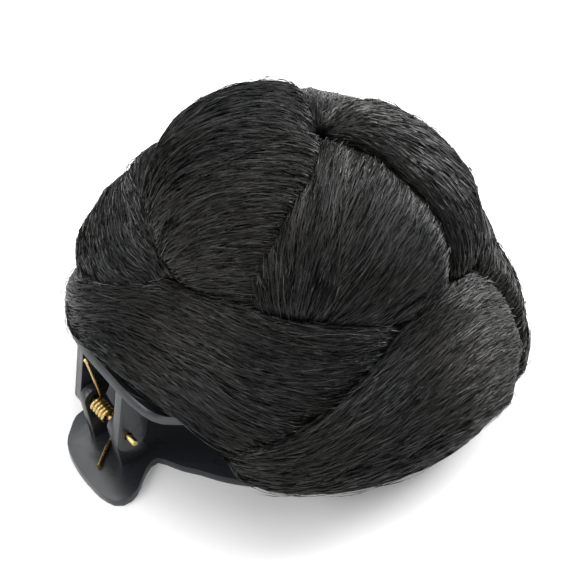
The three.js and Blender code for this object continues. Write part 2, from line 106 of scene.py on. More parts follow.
# Lock tables: azimuth and latitude of the low edge, then of the high edge, then lift in shares
# of the lock's depth. The first lock lies on top of all the others, and so on down the list.
# They are the solids' own, but the front crown lock reaches a little further over the left one,
# and the faces of the front and right crown locks are up to 0.6 mm off their solids'
LOCKS = {
    "ring_lock_front_right": [
        (212, -16, 213, -2, -0.55),
        (219, -23, 221, 4, -0.05),
        (228, -27, 233, 11, 0.1),
        (240, -27, 247, 20, 0.08),
        (252, -27, 262, 28, 0.01),
        (262, -27, 276, 33, 0),
        (271, -27, 290, 34, 0.05),
        (278, -27, 300, 31, 0.12),
        (284, -26, 309, 25, 0.16),
        (288, -24, 313, 19, -0.4),
    ],
    "ring_lock_front_left": [
        (116, -24, 120, -6, -0.7),
        (134, -24, 140, 4, -0.3),
        (152, -15, 158, 15, -0.2),
        (168, 0, 176, 27, -0.22),
        (186, 4, 191, 32, -0.2),
        (202, 3, 205, 34, -0.12),
        (216, -1, 220, 34, -0.02),
        (232, -3, 236, 33.5, -0.08),
        (247, 2, 250, 32, -0.3),
        (262, 9, 264, 29, -0.65),
    ],
    "ring_lock_right": [
        (276, -25, 288, 18, -0.9),
        (290, -27, 303, 30, 0.08),
        (304, -27, 316, 35, 0.24),
        (322, -27, 332, 36, 0.08),
        (342, -27, 348, 35, -0.1),
        (362, -27, 366, 34, 0.02),
        (380, -27, 385, 33, 0.06),
        (394, -27, 401, 31, 0.04),
        (405, -26, 412, 28, -0.1),
        (412, -22, 418, 22, -0.5),
    ],
    "ring_lock_left": [
        (434, -22, 438, 12, -0.85),
        (446, -26, 452, 26, -0.3),
        (460, -27, 466, 34, 0.06),
        (478, -27, 484, 37, 0.08),
        (496, -26, 503, 38, -0.45),
        (512, -20, 520, 38, -0.6),
        (526, -4, 532, 35, -0.7),
        (540, 5, 545, 29, -0.8),
    ],
    "ring_lock_back": [
        (388, -22, 392, 16, -0.9),
        (398, -26, 403, 28, -0.55),
        (409, -27, 414, 33, -0.12),
        (424, -27, 428, 34, 0),
        (440, -27, 442, 32, -0.06),
        (454, -24, 456, 26, -0.4),
        (466, -20, 468, 18, -0.85),
    ],
    "crown_lock_right": [
        (284, 88.3, 380, 88.3, -0.4),
        (292, 82, 380, 79, 0.03),
        (296, 74, 382, 70, 0.04),
        (294, 65, 382, 60, 0.02),
        (294, 55, 381, 50, 0),
        (291, 46, 379, 41, 0.03),
        (287, 36, 377, 33, -0.22),
        (286, 28, 376, 27, -0.75),
    ],
    "crown_lock_front": [
        (232, 88.3, 296, 88.3, -0.4),
        (226, 80, 303, 82, -0.06),
        (219, 71, 303, 73, 0.02),
        (212, 61, 302, 64, 0.03),
        (210, 51, 302, 55, 0),
        (210, 41, 300, 45, -0.08),
        (211, 34, 296, 36, -0.35),
        (212, 27, 292, 28, -0.75),
    ],
    "crown_lock_left": [
        (66, 88.3, 236, 88.3, -0.45),
        (62, 78, 234, 80, 0.02),
        (60, 68, 230, 71, 0.12),
        (60, 58, 226, 61, 0.14),
        (61, 49, 224, 51, 0.05),
        (63, 41, 224, 42, -0.15),
        (66, 34, 225, 34, -0.4),
        (68, 28, 226, 28, -0.75),
    ],
    "crown_lock_back": [
        (374, 88.3, 430, 88.3, -0.45),
        (371, 79, 430, 78, -0.25),
        (371, 69, 428, 68, -0.25),
        (371, 59, 427, 58, -0.28),
        (371, 49, 428, 49, -0.22),
        (370, 41, 430, 41, -0.2),
        (369, 34, 432, 34, -0.4),
        (368, 28, 434, 28, -0.75),
    ],
}
RING_LOCKS = [name for name in LOCKS if name.startswith("ring")]
CROWN_LOCKS = [name for name in LOCKS if name.startswith("crown")]

# Fibres lie along their lock. On these two they run instead as meridians do between two poles,
# each given by its azimuth and latitude on the bun
FLOW_POLES = {
    "crown_lock_left": ((172, 24), (275, 42)),
    "crown_lock_front": ((226, 16), (24, 28)),
}

# A lock that goes under another is pressed there to a share of its height. It is so this many
# millimetres inside the other's outline, and rises to its full height over the second distance
TUCKED_SHARE = 0.2
TUCK = (5.5, 6.0)
TUCK_OF = {
    ("crown_lock_front", "crown_lock_left"): (7.0, 5.5),
    ("crown_lock_right", "crown_lock_front"): (2.0, 9.0),
}

# Grid of a lock's outer face: sections along it and points across each. A section is a
# superellipse of this power. Fibres keep off the grid's border by these parts of a cell
SECTIONS = 61
ACROSS = 41
ROUNDNESS = 5
BORDER = (0.4, 0.7)
EDGE_SAMPLES = 40

# Soft ridges that hair gathers into: widths and heights in millimetres, and how often each
# changes along the lock
RIDGES = ((7.0, 0.3), (3.2, 0.2), (1.7, 0.12))
RIDGE_ROWS = 4

# Loose fibres: points on each, steps walked to either side, and the least share of its way that
# has to lie on the lock
FIBRE_POINTS = 11
HALF_WALK = 14
LEAST_SHARE = 0.3
# Lengths and widths in shares of the usual one, and how much the ends narrow
LENGTH_SHARES = (0.5, 1.3)
WIDTH_SHARES = (0.6, 1.35)
END_TAPER = 0.85
# Turn aside and roll, as standard deviations in radians
LEAN = math.radians(5)
ROLL = 0.95
# Wave and height over the lock in millimetres, the share of fibres that stray, and how far each
# of them does in shares of the most
WAVE_HEIGHT = (0.03, 0.22)
WAVE_LENGTH = (6, 16)
WAVE_START = (0, 6.3)
LIFT = (0.02, 0.42)
END_SINK = 0.35
STRAYING = 0.04
STRAY_SHARES = (0.25, 1)


class HairSettings(bpy.types.PropertyGroup):
    fibres: IntProperty(
        name="Fibres",
        description="Loose fibres on a square centimetre of a lock",
        default=88,
        min=5,
        max=300,
    )
    fibre_width: FloatProperty(
        name="Fibre width",
        description="Width of one fibre",
        default=0.00021,
        min=0.00005,
        max=0.001,
        unit="LENGTH",
    )
    fibre_length: FloatProperty(
        name="Fibre length",
        description="Usual length of a fibre",
        default=0.032,
        min=0.01,
        max=0.1,
        unit="LENGTH",
    )
    flyaway: FloatProperty(
        name="Flyaway",
        description="How far stray fibres stand off",
        default=0.0015,
        min=0,
        max=0.01,
        unit="LENGTH",
    )
    # Dark is painted shade: the shade in the gaps between fibres of the massed hair
    dark: FloatVectorProperty(
        name="Dark",
        description="Colour between the fibres",
        default=(0.0008, 0.0008, 0.0009),
        subtype="COLOR",
    )
    cool: FloatVectorProperty(
        name="Cool",
        description="Cool charcoal of the fibres",
        default=(0.0030, 0.0033, 0.0035),
        subtype="COLOR",
    )
    warm: FloatVectorProperty(
        name="Warm",
        description="Warm charcoal of the fibres",
        default=(0.0050, 0.0044, 0.0034),
        subtype="COLOR",
    )


class ClipSettings(bpy.types.PropertyGroup):
    plastic: FloatVectorProperty(
        name="Plastic",
        description="Colour of the clip",
        default=(0.015, 0.017, 0.02),
        subtype="COLOR",
    )
    brass: FloatVectorProperty(
        name="Brass",
        description="Colour of the pin and spring",
        default=(0.62, 0.455, 0.18),
        subtype="COLOR",
    )
    edge: FloatProperty(
        name="Edge",
        description="Radius of the clip's moulded edges",
        default=0.0006,
        min=0,
        max=0.001,
        unit="LENGTH",
    )


class StageSettings(bpy.types.PropertyGroup):
    floor: FloatVectorProperty(
        name="Floor",
        description="Colour of the floor",
        default=(0.93, 0.93, 0.93),
        subtype="COLOR",
    )
    key: FloatProperty(
        name="Light",
        description="Power that the studio's soft lights share",
        default=24.0,
        min=0,
        unit="POWER",
    )
    fill: FloatProperty(
        name="Fill light",
        description="Strength of the studio's fill",
        default=0.56,
        min=0,
    )


# Surface of the bun


def outer_root(a, b, c):
    """Greater root of a quadratic, or of the nearest one that has a root."""
    return (-b + np.sqrt(np.maximum(b * b - 4 * a * c, 0))) / (2 * a)


def bun_distance(latitude):
    """How far the bun's face is from its middle: a ring and a crown with a soft crease between."""
    across, up = np.cos(latitude), np.sin(latitude)
    a = (across / RING_HALF_WIDTH) ** 2 + (up / RING_HALF_HEIGHT) ** 2
    b = -2 * RING_RADIUS * across / RING_HALF_WIDTH**2
    c = (RING_RADIUS / RING_HALF_WIDTH) ** 2 - 1
    ring = np.where(b * b - 4 * a * c > 0, outer_root(a, b, c), 0.9 * -b / (2 * a))
    a = (across / CROWN_RADIUS) ** 2 + (up / CROWN_HALF_HEIGHT) ** 2
    b = -2 * CROWN_RISE * up / CROWN_HALF_HEIGHT**2
    c = (CROWN_RISE / CROWN_HALF_HEIGHT) ** 2 - 1
    crown = outer_root(a, b, c)
    overlap = np.maximum(0, CREASE_BLEND - np.abs(ring - crown))
    return np.maximum(ring, crown) + overlap**2 / (4 * CREASE_BLEND)


def profile_tables():
    """The bun's profile: latitude, length along it, place and outward direction, point by point."""
    latitude = np.linspace(LOWEST, math.pi / 2, PROFILE_POINTS)
    reach = bun_distance(latitude)
    x, z = np.cos(latitude) * reach, np.sin(latitude) * reach
    step = np.hypot(np.diff(x), np.diff(z))
    girth = np.concatenate([[0], np.cumsum(step)])
    dx, dz = np.gradient(x), np.gradient(z)
    size = np.hypot(dx, dz)
    return latitude, girth, x, z, dz / size, -dx / size


LATITUDE, GIRTH, PROFILE_X, PROFILE_Z, NORMAL_X, NORMAL_Z = profile_tables()


def bun_point(around, girth, offset):
    """Place about the hinge, in millimetres, from lengths around, along the profile and out."""
    x = np.interp(girth, GIRTH, PROFILE_X) + offset * np.interp(girth, GIRTH, NORMAL_X)
    z = np.interp(girth, GIRTH, PROFILE_Z) + offset * np.interp(girth, GIRTH, NORMAL_Z)
    azimuth = around / RING_RADIUS
    px, py = x * np.cos(azimuth), x * np.sin(azimuth)
    turn, tip = math.cos(BUN_TILT), math.sin(BUN_TILT)
    drop = math.hypot(RING_HALF_HEIGHT * turn, RING_HALF_WIDTH * tip)
    rise = RING_RADIUS * tip + drop - HINGE_HEIGHT
    ahead = px * turn + z * tip + BUN_REACH
    return np.stack([ahead, py + BUN_OFFSET, -px * tip + z * turn + rise], -1)


def girth_at(latitude):
    """Length along the profile up to a latitude in degrees."""
    return np.interp(np.radians(latitude), LATITUDE, GIRTH)


def upper_level(x, depth):
    """Height of the upper plate at x, at a depth below its top face."""
    return (HINGE_HEIGHT - depth) / math.cos(MOUTH_ANGLE) - x * math.tan(MOUTH_ANGLE)


def kept_clear(points, margin=0.0):
    """Points moved up out of the clip and off the floor."""
    x, y, z = points[..., 0], points[..., 1], points[..., 2]
    beside = np.maximum(0, np.abs(y) - CLIP_HALF_WIDTH)
    lowest = upper_level(x, -CLIP_GAP - margin) - BESIDE_CLIP * beside
    lowest = np.maximum(lowest, FLOOR_GAP + margin - HINGE_HEIGHT)
    return np.stack([x, y, np.maximum(z, lowest)], -1)


def in_row(points):
    """Places about the hinge, in millimetres, as places in the frame, in metres."""
    return (points + HINGE) / 1000


# Locks


def smooth(value):
    value = np.clip(value, 0, 1)
    return value * value * (3 - 2 * value)


def edge_curve(places, t):
    """Smooth curve through places, with the same spacing as the part's source."""
    ends = np.vstack([2 * places[0] - places[1], places, 2 * places[-1] - places[-2]])
    at = np.clip(t, 0, 1) * (len(places) - 1)
    i = np.minimum(at.astype(int), len(places) - 2)
    w = (at - i)[..., None]
    p0, p1, p2, p3 = ends[i], ends[i + 1], ends[i + 2], ends[i + 3]
    v0, v1 = (p2 - p0) / 2, (p3 - p1) / 2
    bend = (2 * p1 - 2 * p2 + v0 + v1) * w**3 + (-3 * p1 + 3 * p2 - 2 * v0 - v1) * w**2
    return bend + v0 * w + p1


def lock_edges(name, s):
    """A lock's low and high edges: lengths around and along the profile, and lift."""
    low_azimuth, low_latitude, high_azimuth, high_latitude, lift = np.array(LOCKS[name], float).T
    low = np.stack([RING_RADIUS * np.radians(low_azimuth), girth_at(low_latitude), lift], -1)
    high = np.stack([RING_RADIUS * np.radians(high_azimuth), girth_at(high_latitude), lift], -1)
    return edge_curve(low, s), edge_curve(high, s)


def outside_by(name, around, girth):
    """Distance in millimetres that places on the bun lie outside a lock, negative inside it."""
    low, high = lock_edges(name, np.linspace(0, 1, EDGE_SAMPLES))
    ring = np.vstack([low[:, :2], high[::-1, :2]])
    nxt = np.roll(ring, -1, axis=0)
    best = np.full(around.shape, 1e9)
    inside = np.zeros(around.shape, bool)
    narrow = np.maximum(np.interp(girth, GIRTH, PROFILE_X), 2) / RING_RADIUS
    for lap in (-1, 0, 1):
        x = around + lap * 2 * math.pi * RING_RADIUS
        odd = np.zeros(around.shape, bool)
        for (ax, ay), (bx, by) in zip(ring, nxt):
            ux, uy = (bx - ax) * narrow, by - ay
            px, py = (x - ax) * narrow, girth - ay
            t = np.clip((px * ux + py * uy) / np.maximum(ux * ux + uy * uy, 1e-9), 0, 1)
            best = np.minimum(best, np.hypot(px - t * ux, py - t * uy))
            crosses = (ay > girth) != (by > girth)
            slope = (girth - ay) / np.where(by == ay, 1e-9, by - ay)
            odd ^= crosses & (x < ax + slope * (bx - ax))
        inside |= odd
    return np.where(inside, -best, best)


def pole(azimuth, latitude):
    """Place on the bun's face, given in degrees."""
    around = RING_RADIUS * math.radians(azimuth)
    return bun_point(np.array(around), np.array(girth_at(latitude)), 0.0)


def flow_of(name, places, s, u, length, width):
    """Where places in a lock lie across its fibres and along them, in millimetres."""
    if name not in FLOW_POLES:
        return (u + 1) / 2 * width, s * length
    start, end = (pole(*place) for place in FLOW_POLES[name])
    axis = (end - start) / np.linalg.norm(end - start)
    out = places.reshape(-1, 3).mean(0) - start
    out -= axis * out.dot(axis)
    out /= np.linalg.norm(out)
    beside = np.cross(axis, out)
    far = places - start
    turn = np.arctan2(far @ beside, far @ out)
    return turn * np.linalg.norm(end - start) / 2, far @ axis


def clumps(across, along, seed):
    """Height of the soft ridges that hair gathers into, in millimetres."""
    rng = np.random.default_rng(seed)
    height = np.zeros(np.shape(across))
    across = across - across.min()
    along = (along - along.min()) / np.ptp(along)
    for size, depth in RIDGES:
        count = int(across.max() / size) + 3
        table = rng.uniform(-1, 1, (RIDGE_ROWS, count))
        row = np.clip(along, 0, 1) * (RIDGE_ROWS - 1.001)
        i = row.astype(int)
        w = smooth(row - i)
        ridges = np.stack([np.interp(across / size, np.arange(count), line) for line in table])
        before, after = (np.take_along_axis(ridges, i[None] + k, 0)[0] for k in (0, 1))
        height += depth * (before * (1 - w) + after * w)
    return height


class Lock:
    """The outer face of a lock as a grid of points, with what lies over it pressed in."""

    def __init__(self, name):
        self.name = name
        self.seed = list(LOCKS).index(name)
        s = np.linspace(0, 1, SECTIONS)
        angle = np.linspace(-math.pi / 2, math.pi / 2, ACROSS)
        u = np.sign(np.sin(angle)) * np.abs(np.sin(angle)) ** (2 / ROUNDNESS)
        crown = np.abs(np.cos(angle)) ** (2 / ROUNDNESS)
        low, high = lock_edges(name, s)
        share = (u[None, :] + 1) / 2
        around = low[:, None, 0] * (1 - share) + high[:, None, 0] * share
        girth = np.clip(low[:, None, 1] * (1 - share) + high[:, None, 1] * share, 0, GIRTH[-1])
        middle = bun_point(around[:, ACROSS // 2], girth[:, ACROSS // 2], 0)
        length = np.linalg.norm(np.diff(middle, axis=0), axis=1).sum()
        widest = bun_point(around, girth, 0)
        width = np.linalg.norm(np.diff(widest, axis=1), axis=2).sum(1).max()
        pressed = np.ones(around.shape)
        for upper in list(LOCKS)[: self.seed]:
            away = outside_by(upper, around, girth)
            inward, over = TUCK_OF.get((upper, name), TUCK)
            rest = 1 - TUCKED_SHARE
            pressed = np.minimum(pressed, TUCKED_SHARE + rest * smooth((away + inward) / over))
        grid_s, grid_u = np.meshgrid(s, u, indexing="ij")
        self.across, self.along = flow_of(name, widest, grid_s, grid_u, length, width)
        ridge = clumps(self.across, self.along, self.seed)
        edge = LOCK_EDGE * LOCK_DEPTH
        height = LOCK_DEPTH * (1 + low[:, None, 2]) - edge
        offset = edge - LOCK_DEPTH + height * crown * pressed + ridge * crown * pressed
        self.face = in_row(kept_clear(bun_point(around, girth, offset)))
        self.back = in_row(kept_clear(bun_point(around, girth, 0 * offset - LOCK_DEPTH)))
        along_face = np.gradient(self.face, axis=0)
        across_face = np.gradient(self.face, axis=1)
        normal = np.cross(along_face, across_face)
        self.normal = normal / np.maximum(np.linalg.norm(normal, axis=2, keepdims=True), 1e-12)

        self.step_row = np.gradient(self.across, axis=1)
        self.step_column = -np.gradient(self.across, axis=0)
        pace = along_face * self.step_row[..., None] + across_face * self.step_column[..., None]
        pace = np.maximum(np.linalg.norm(pace, axis=2) * 1000, 1e-6)
        self.step_row /= pace
        self.step_column /= pace
        self.area = np.linalg.norm(normal, axis=2)

    def sample(self, grid, row, column):
        """Value of a grid at places given by row and column, read between its points."""
        row = np.clip(row, 0, SECTIONS - 1)
        column = np.clip(column, 0, ACROSS - 1)
        i = np.minimum(row.astype(int), SECTIONS - 2)
        j = np.minimum(column.astype(int), ACROSS - 2)
        a, b = row - i, column - j
        if grid.ndim == 3:
            a, b = a[..., None], b[..., None]
        upper = grid[i, j] * (1 - b) + grid[i, j + 1] * b
        lower = grid[i + 1, j] * (1 - b) + grid[i + 1, j + 1] * b
        return upper * (1 - a) + lower * a

    def walk(self, row, column, step):
        """Places reached from others by a step in millimetres along the fibres."""
        half_row = row + self.sample(self.step_row, row, column) * step / 2
        half_column = column + self.sample(self.step_column, row, column) * step / 2
        down = self.sample(self.step_row, half_row, half_column)
        over = self.sample(self.step_column, half_row, half_column)
        return row + down * step, column + over * step

    def holds(self, row, column):
        """Whether places lie on the lock, clear of its border."""
        end, side = BORDER
        along = (row > end) & (row < SECTIONS - 1 - end)
        return along & (column > side) & (column < ACROSS - 1 - side)


def deselect():
    bpy.ops.object.select_all(action="DESELECT")


def model_lock(lock, material):
    """A lock's body: a ball drawn out between the lock's two ends, its front on the lock's face."""
    deselect()
    segments = 2 * (ACROSS - 1)
    bpy.ops.mesh.primitive_uv_sphere_add(segments=segments, ring_count=SECTIONS + 1, radius=1)
    body = bpy.context.object
    body.name = body.data.name = lock.name + "_hair"
    points = np.array([v.co for v in body.data.vertices])
    polar = np.arccos(np.clip(points[:, 2], -1, 1))
    ring = np.clip(np.rint(polar / math.pi * (SECTIONS + 1)).astype(int) - 1, 0, SECTIONS - 1)
    turn = np.rint(np.arctan2(points[:, 1], points[:, 0]) / (2 * math.pi) * segments).astype(int)
    quarter = segments // 4
    front = np.abs(turn) <= quarter
    behind = np.where(turn > 0, 3 * quarter - turn, -turn - quarter)
    column = np.where(front, turn + quarter, behind)
    moved = np.where(front[:, None], lock.face[ring, column], lock.back[ring, column])
    ends = np.abs(points[:, 2]) > 0.99999
    tips = (lock.face[ring, ACROSS // 2] + lock.back[ring, ACROSS // 2]) / 2
    moved[ends] = tips[ends]
    body.data.vertices.foreach_set("co", moved.astype(np.float32).ravel())
    flow = np.stack([lock.across[ring, column], lock.along[ring, column]], -1) / 1000
    corner = np.empty(len(body.data.loops), np.int32)
    body.data.loops.foreach_get("vertex_index", corner)
    while body.data.uv_layers:
        body.data.uv_layers.remove(body.data.uv_layers[0])
    layer = body.data.uv_layers.new(name="Flow")
    layer.data.foreach_set("uv", flow[corner].astype(np.float32).ravel())
    bpy.ops.object.mode_set(mode="EDIT")
    bpy.ops.mesh.select_all(action="SELECT")
    bpy.ops.mesh.normals_make_consistent(inside=False)
    bpy.ops.object.mode_set(mode="OBJECT")
    bpy.ops.object.shade_smooth()
    body.data.materials.append(material)
    return body


def fibre_paths(lock, settings, rng):
    """Centre lines of the loose fibres on a lock, the face's direction under each point, and the
    point's place along its fibre, from -1 to 1."""
    odds = lock.area[:-1, :-1].ravel()
    square_centimetres = odds.sum() * 10000
    count = int(settings.fibres * square_centimetres)
    cell = rng.choice(odds.size, count, p=odds / odds.sum())
    row = cell // (ACROSS - 1) + rng.uniform(0, 1, count)
    column = cell % (ACROSS - 1) + rng.uniform(0, 1, count)
    length = settings.fibre_length * 1000 * rng.uniform(*LENGTH_SHARES, count)
    rows, columns = np.zeros((2, 2 * HALF_WALK + 1, count))
    rows[HALF_WALK], columns[HALF_WALK] = row, column
    ends = []
    for way in (-1, 1):
        on = lock.holds(row, column)
        reached = np.zeros(count)
        step = way * length / 2 / HALF_WALK
        for i in range(HALF_WALK):
            at = HALF_WALK + way * i
            rows[at + way], columns[at + way] = lock.walk(rows[at], columns[at], step)
            on = on & lock.holds(rows[at + way], columns[at + way])
            reached += on
        ends.append(way * reached)
    kept = ends[1] - ends[0] > LEAST_SHARE * HALF_WALK
    q = np.linspace(-1, 1, FIBRE_POINTS)
    at = HALF_WALK + ends[0][:, None] + (ends[1] - ends[0])[:, None] * (q + 1) / 2
    low = np.minimum(at.astype(int), 2 * HALF_WALK - 1)
    each = np.arange(count)[:, None]
    row, column = (
        grid[low, each] * (1 - at + low) + grid[low + 1, each] * (at - low)
        for grid in (rows, columns)
    )
    row, column, at = row[kept], column[kept], at[kept]
    count = len(row)
    q = np.broadcast_to(q, row.shape)
    normal = lock.sample(lock.normal, row, column)
    points = lock.sample(lock.face, row, column)
    along = np.gradient(points, axis=1)
    side = np.cross(normal, along)
    side /= np.maximum(np.linalg.norm(side, axis=2, keepdims=True), 1e-12)
    run = (at - HALF_WALK) * length[kept][:, None] / 2 / HALF_WALK
    lean = np.tan(rng.normal(0, LEAN, count))[:, None] * run
    height = rng.uniform(*WAVE_HEIGHT, count)[:, None]
    wavelength = rng.uniform(*WAVE_LENGTH, count)[:, None]
    start = rng.uniform(*WAVE_START, count)[:, None]
    wave = height * np.sin(2 * math.pi * run / wavelength + start)
    lift = rng.uniform(*LIFT, count)[:, None] - END_SINK * np.abs(q) ** 3
    stray = rng.uniform(0, 1, count) < STRAYING
    stands = settings.flyaway * 1000 * rng.uniform(*STRAY_SHARES, count) ** 2
    lift += np.where(stray, stands, 0)[:, None] * (1 - q**2) ** 1.5
    points = points + (side * (lean + wave)[..., None] + normal * lift[..., None]) / 1000
    return in_row(kept_clear(points * 1000 - HINGE, FLOOR_GAP)), normal, q


def lay_fibres(lock, settings, material):
    """One mesh of thin ribbons, each turned a little so that it catches the light in places."""
    rng = np.random.default_rng(100 + lock.seed)
    points, normal, q = fibre_paths(lock, settings, rng)
    count, steps = q.shape
    tangent = np.gradient(points, axis=1)
    tangent /= np.maximum(np.linalg.norm(tangent, axis=2, keepdims=True), 1e-12)
    side = np.cross(normal, tangent)
    side /= np.maximum(np.linalg.norm(side, axis=2, keepdims=True), 1e-12)
    up = np.cross(tangent, side)
    roll = rng.normal(0, ROLL, (count, steps))[..., None]
    side = side * np.cos(roll) + up * np.sin(roll)
    width = settings.fibre_width * rng.uniform(*WIDTH_SHARES, count)[:, None]
    width = width * (1 - END_TAPER * q**6)
    edge = side * width[..., None] / 2
    vertices = np.stack([points - edge, points + edge], 2).reshape(-1, 3)
    first = (np.arange(count)[:, None] * steps + np.arange(steps - 1)).ravel() * 2
    faces = np.stack([first, first + 2, first + 3, first + 1], -1)
    mesh = bpy.data.meshes.new(lock.name + "_fibres")
    mesh.vertices.add(len(vertices))
    mesh.vertices.foreach_set("co", vertices.astype(np.float32).ravel())
    mesh.loops.add(faces.size)
    mesh.loops.foreach_set("vertex_index", faces.ravel().astype(np.int32))
    mesh.polygons.add(len(faces))
    mesh.polygons.foreach_set("loop_start", np.arange(0, faces.size, 4, dtype=np.int32))
    mesh.polygons.foreach_set("use_smooth", np.ones(len(faces), bool))
    mesh.update(calc_edges=True)
    tone = rng.uniform(0, 1, count)
    flow = np.stack([np.broadcast_to(tone[:, None], q.shape), q], -1)
    pairs = np.repeat(flow, 2, axis=1).reshape(-1, 2)
    layer = mesh.uv_layers.new(name="Flow")
    layer.data.foreach_set("uv", pairs[faces.ravel()].astype(np.float32).ravel())
    mesh.materials.append(material)
    fibres = bpy.data.objects.new(mesh.name, mesh)
    bpy.context.collection.objects.link(fibres)
    return fibres


# Materials

# Streaks to a metre in massed hair, across it and along it: charcoal streaks for fibres, dark
# streaks of painted shade for the gaps between them
STREAKS = (3800, 160)


def add_node(tree, kind, values=None, **settings):
    node = tree.nodes.new(kind)
    for key, value in settings.items():
        setattr(node, key, value)
    for key, value in (values or {}).items():
        node.inputs[key].default_value = value
    return node


def named_group(name, inputs, outputs):
    """A node group with its input and output nodes. A default of None leaves the socket's own."""
    tree = bpy.data.node_groups.new(name, "ShaderNodeTree")
    add_socket = tree.interface.new_socket
    for label, kind, value in inputs:
        socket = add_socket(name=label, in_out="INPUT", socket_type="NodeSocket" + kind)
        if value is not None:
            socket.default_value = value
    for label, kind in outputs:
        add_socket(name=label, in_out="OUTPUT", socket_type="NodeSocket" + kind)
    return tree, tree.nodes.new("NodeGroupInput"), tree.nodes.new("NodeGroupOutput")


def charcoal_group():
    """Slow drift between a cool and a warm charcoal over the bun, with a few light fibres."""
    found = bpy.data.node_groups.get("Charcoal drift")
    if found:
        return found
    tree, given, result = named_group(
        "Charcoal drift",
        [
            ("Place", "Vector", None),
            ("Cool", "Color", None),
            ("Warm", "Color", None),
            ("Tone", "Float", 0.5),
        ],
        [("Color", "Color")],
    )
    noise = add_node(tree, "ShaderNodeTexNoise", {"Scale": 22.0, "Detail": 2.0})
    spread = add_node(tree, "ShaderNodeMapRange", {"From Min": 0.35, "From Max": 0.65})
    mix = add_node(tree, "ShaderNodeMix", data_type="RGBA")
    steep = add_node(tree, "ShaderNodeMath", {1: 3.5}, operation="POWER")
    bright = add_node(tree, "ShaderNodeMapRange", {"To Min": 0.1, "To Max": 6.2})
    scale = add_node(tree, "ShaderNodeVectorMath", operation="SCALE")
    link = tree.links.new
    link(given.outputs["Place"], noise.inputs["Vector"])
    link(noise.outputs["Fac"], spread.inputs["Value"])
    link(spread.outputs["Result"], mix.inputs["Factor"])
    link(given.outputs["Cool"], mix.inputs["A"])
    link(given.outputs["Warm"], mix.inputs["B"])
    link(given.outputs["Tone"], steep.inputs[0])
    link(steep.outputs["Value"], bright.inputs["Value"])
    link(mix.outputs["Result"], scale.inputs["Vector"])
    link(bright.outputs["Result"], scale.inputs["Scale"])
    link(scale.outputs["Vector"], result.inputs["Color"])
    return tree


def grain_group():
    """Fine irregular grain as a mask and a height, for moulded plastic, wire and cloth."""
    found = bpy.data.node_groups.get("Fine grain")
    if found:
        return found
    tree, given, result = named_group(
        "Fine grain",
        [("Place", "Vector", None), ("Coarse", "Float", 120.0), ("Fine", "Float", 1500.0)],
        [("Mask", "Float"), ("Height", "Float")],
    )
    coarse = add_node(tree, "ShaderNodeTexNoise", {"Detail": 3.0})
    fine = add_node(tree, "ShaderNodeTexNoise", {"Detail": 2.0})
    link = tree.links.new
    link(given.outputs["Place"], coarse.inputs["Vector"])
    link(given.outputs["Place"], fine.inputs["Vector"])
    link(given.outputs["Coarse"], coarse.inputs["Scale"])
    link(given.outputs["Fine"], fine.inputs["Scale"])
    link(coarse.outputs["Fac"], result.inputs["Mask"])
    link(fine.outputs["Fac"], result.inputs["Height"])
    return tree


def new_material(name):
    material = bpy.data.materials.new(name)
    material.use_nodes = True
    tree = material.node_tree
    shader = next(node for node in tree.nodes if node.type == "BSDF_PRINCIPLED")
    return material, tree, shader


def place_group(tree, group, **values):
    node = tree.nodes.new("ShaderNodeGroup")
    node.node_tree = group
    for key, value in values.items():
        node.inputs[key].default_value = value
    return node


def hair_body_material(settings):
    """Massed hair seen between the loose fibres: charcoal streaks along the lie of the hair, with
    dark streaks of painted shade for the gaps between fibres.
    """
    material, tree, shader = new_material("Massed hair")
    link = tree.links.new
    flow = add_node(tree, "ShaderNodeUVMap", uv_map="Flow")
    stretch = add_node(tree, "ShaderNodeMapping")
    stretch.inputs["Scale"].default_value = (*STREAKS, 1)
    streak = add_node(tree, "ShaderNodeTexNoise", {"Scale": 1.0, "Detail": 3.0, "Roughness": 0.65})
    fibres_or_painted_shade = add_node(tree, "ShaderNodeMapRange", {"From Min": 0.38, "From Max": 0.68})
    place = add_node(tree, "ShaderNodeTexCoord")
    cool, warm = (*settings.cool, 1), (*settings.warm, 1)
    drift = place_group(tree, charcoal_group(), Cool=cool, Warm=warm, Tone=0.5)
    # The dark colour mixed in here is painted shade for the gaps between fibres; the streak noise
    # lays it between charcoal streaks
    mix = add_node(tree, "ShaderNodeMix", {"A": (*settings.dark, 1)}, data_type="RGBA")
    bump = add_node(tree, "ShaderNodeBump", {"Strength": 0.6, "Distance": 0.00025})
    link(flow.outputs["UV"], stretch.inputs["Vector"])
    link(stretch.outputs["Vector"], streak.inputs["Vector"])
    link(streak.outputs["Fac"], fibres_or_painted_shade.inputs["Value"])
    link(fibres_or_painted_shade.outputs["Result"], mix.inputs["Factor"])
    link(place.outputs["Object"], drift.inputs["Place"])
    link(drift.outputs["Color"], mix.inputs["B"])
    link(mix.outputs["Result"], shader.inputs["Base Color"])
    link(streak.outputs["Fac"], bump.inputs["Height"])
    link(bump.outputs["Normal"], shader.inputs["Normal"])
    shader.inputs["Roughness"].default_value = 0.52
    shader.inputs["Specular IOR Level"].default_value = 0.03
    return material


def fibre_material(settings):
    """Single fibres: each has its own tone, and a soft gloss."""
    material, tree, shader = new_material("Hair fibre")
    link = tree.links.new
    flow = add_node(tree, "ShaderNodeUVMap", uv_map="Flow")
    parts = add_node(tree, "ShaderNodeSeparateXYZ")
    place = add_node(tree, "ShaderNodeTexCoord")
    cool, warm = (*settings.cool, 1), (*settings.warm, 1)
    drift = place_group(tree, charcoal_group(), Cool=cool, Warm=warm)
    rough = add_node(tree, "ShaderNodeMapRange", {"To Min": 0.5, "To Max": 0.28})
    link(flow.outputs["UV"], parts.inputs["Vector"])
    link(parts.outputs["X"], drift.inputs["Tone"])
    link(parts.outputs["X"], rough.inputs["Value"])
    link(place.outputs["Object"], drift.inputs["Place"])
    link(drift.outputs["Color"], shader.inputs["Base Color"])
    link(rough.outputs["Result"], shader.inputs["Roughness"])
    shader.inputs["Specular IOR Level"].default_value = 0.23
    return material


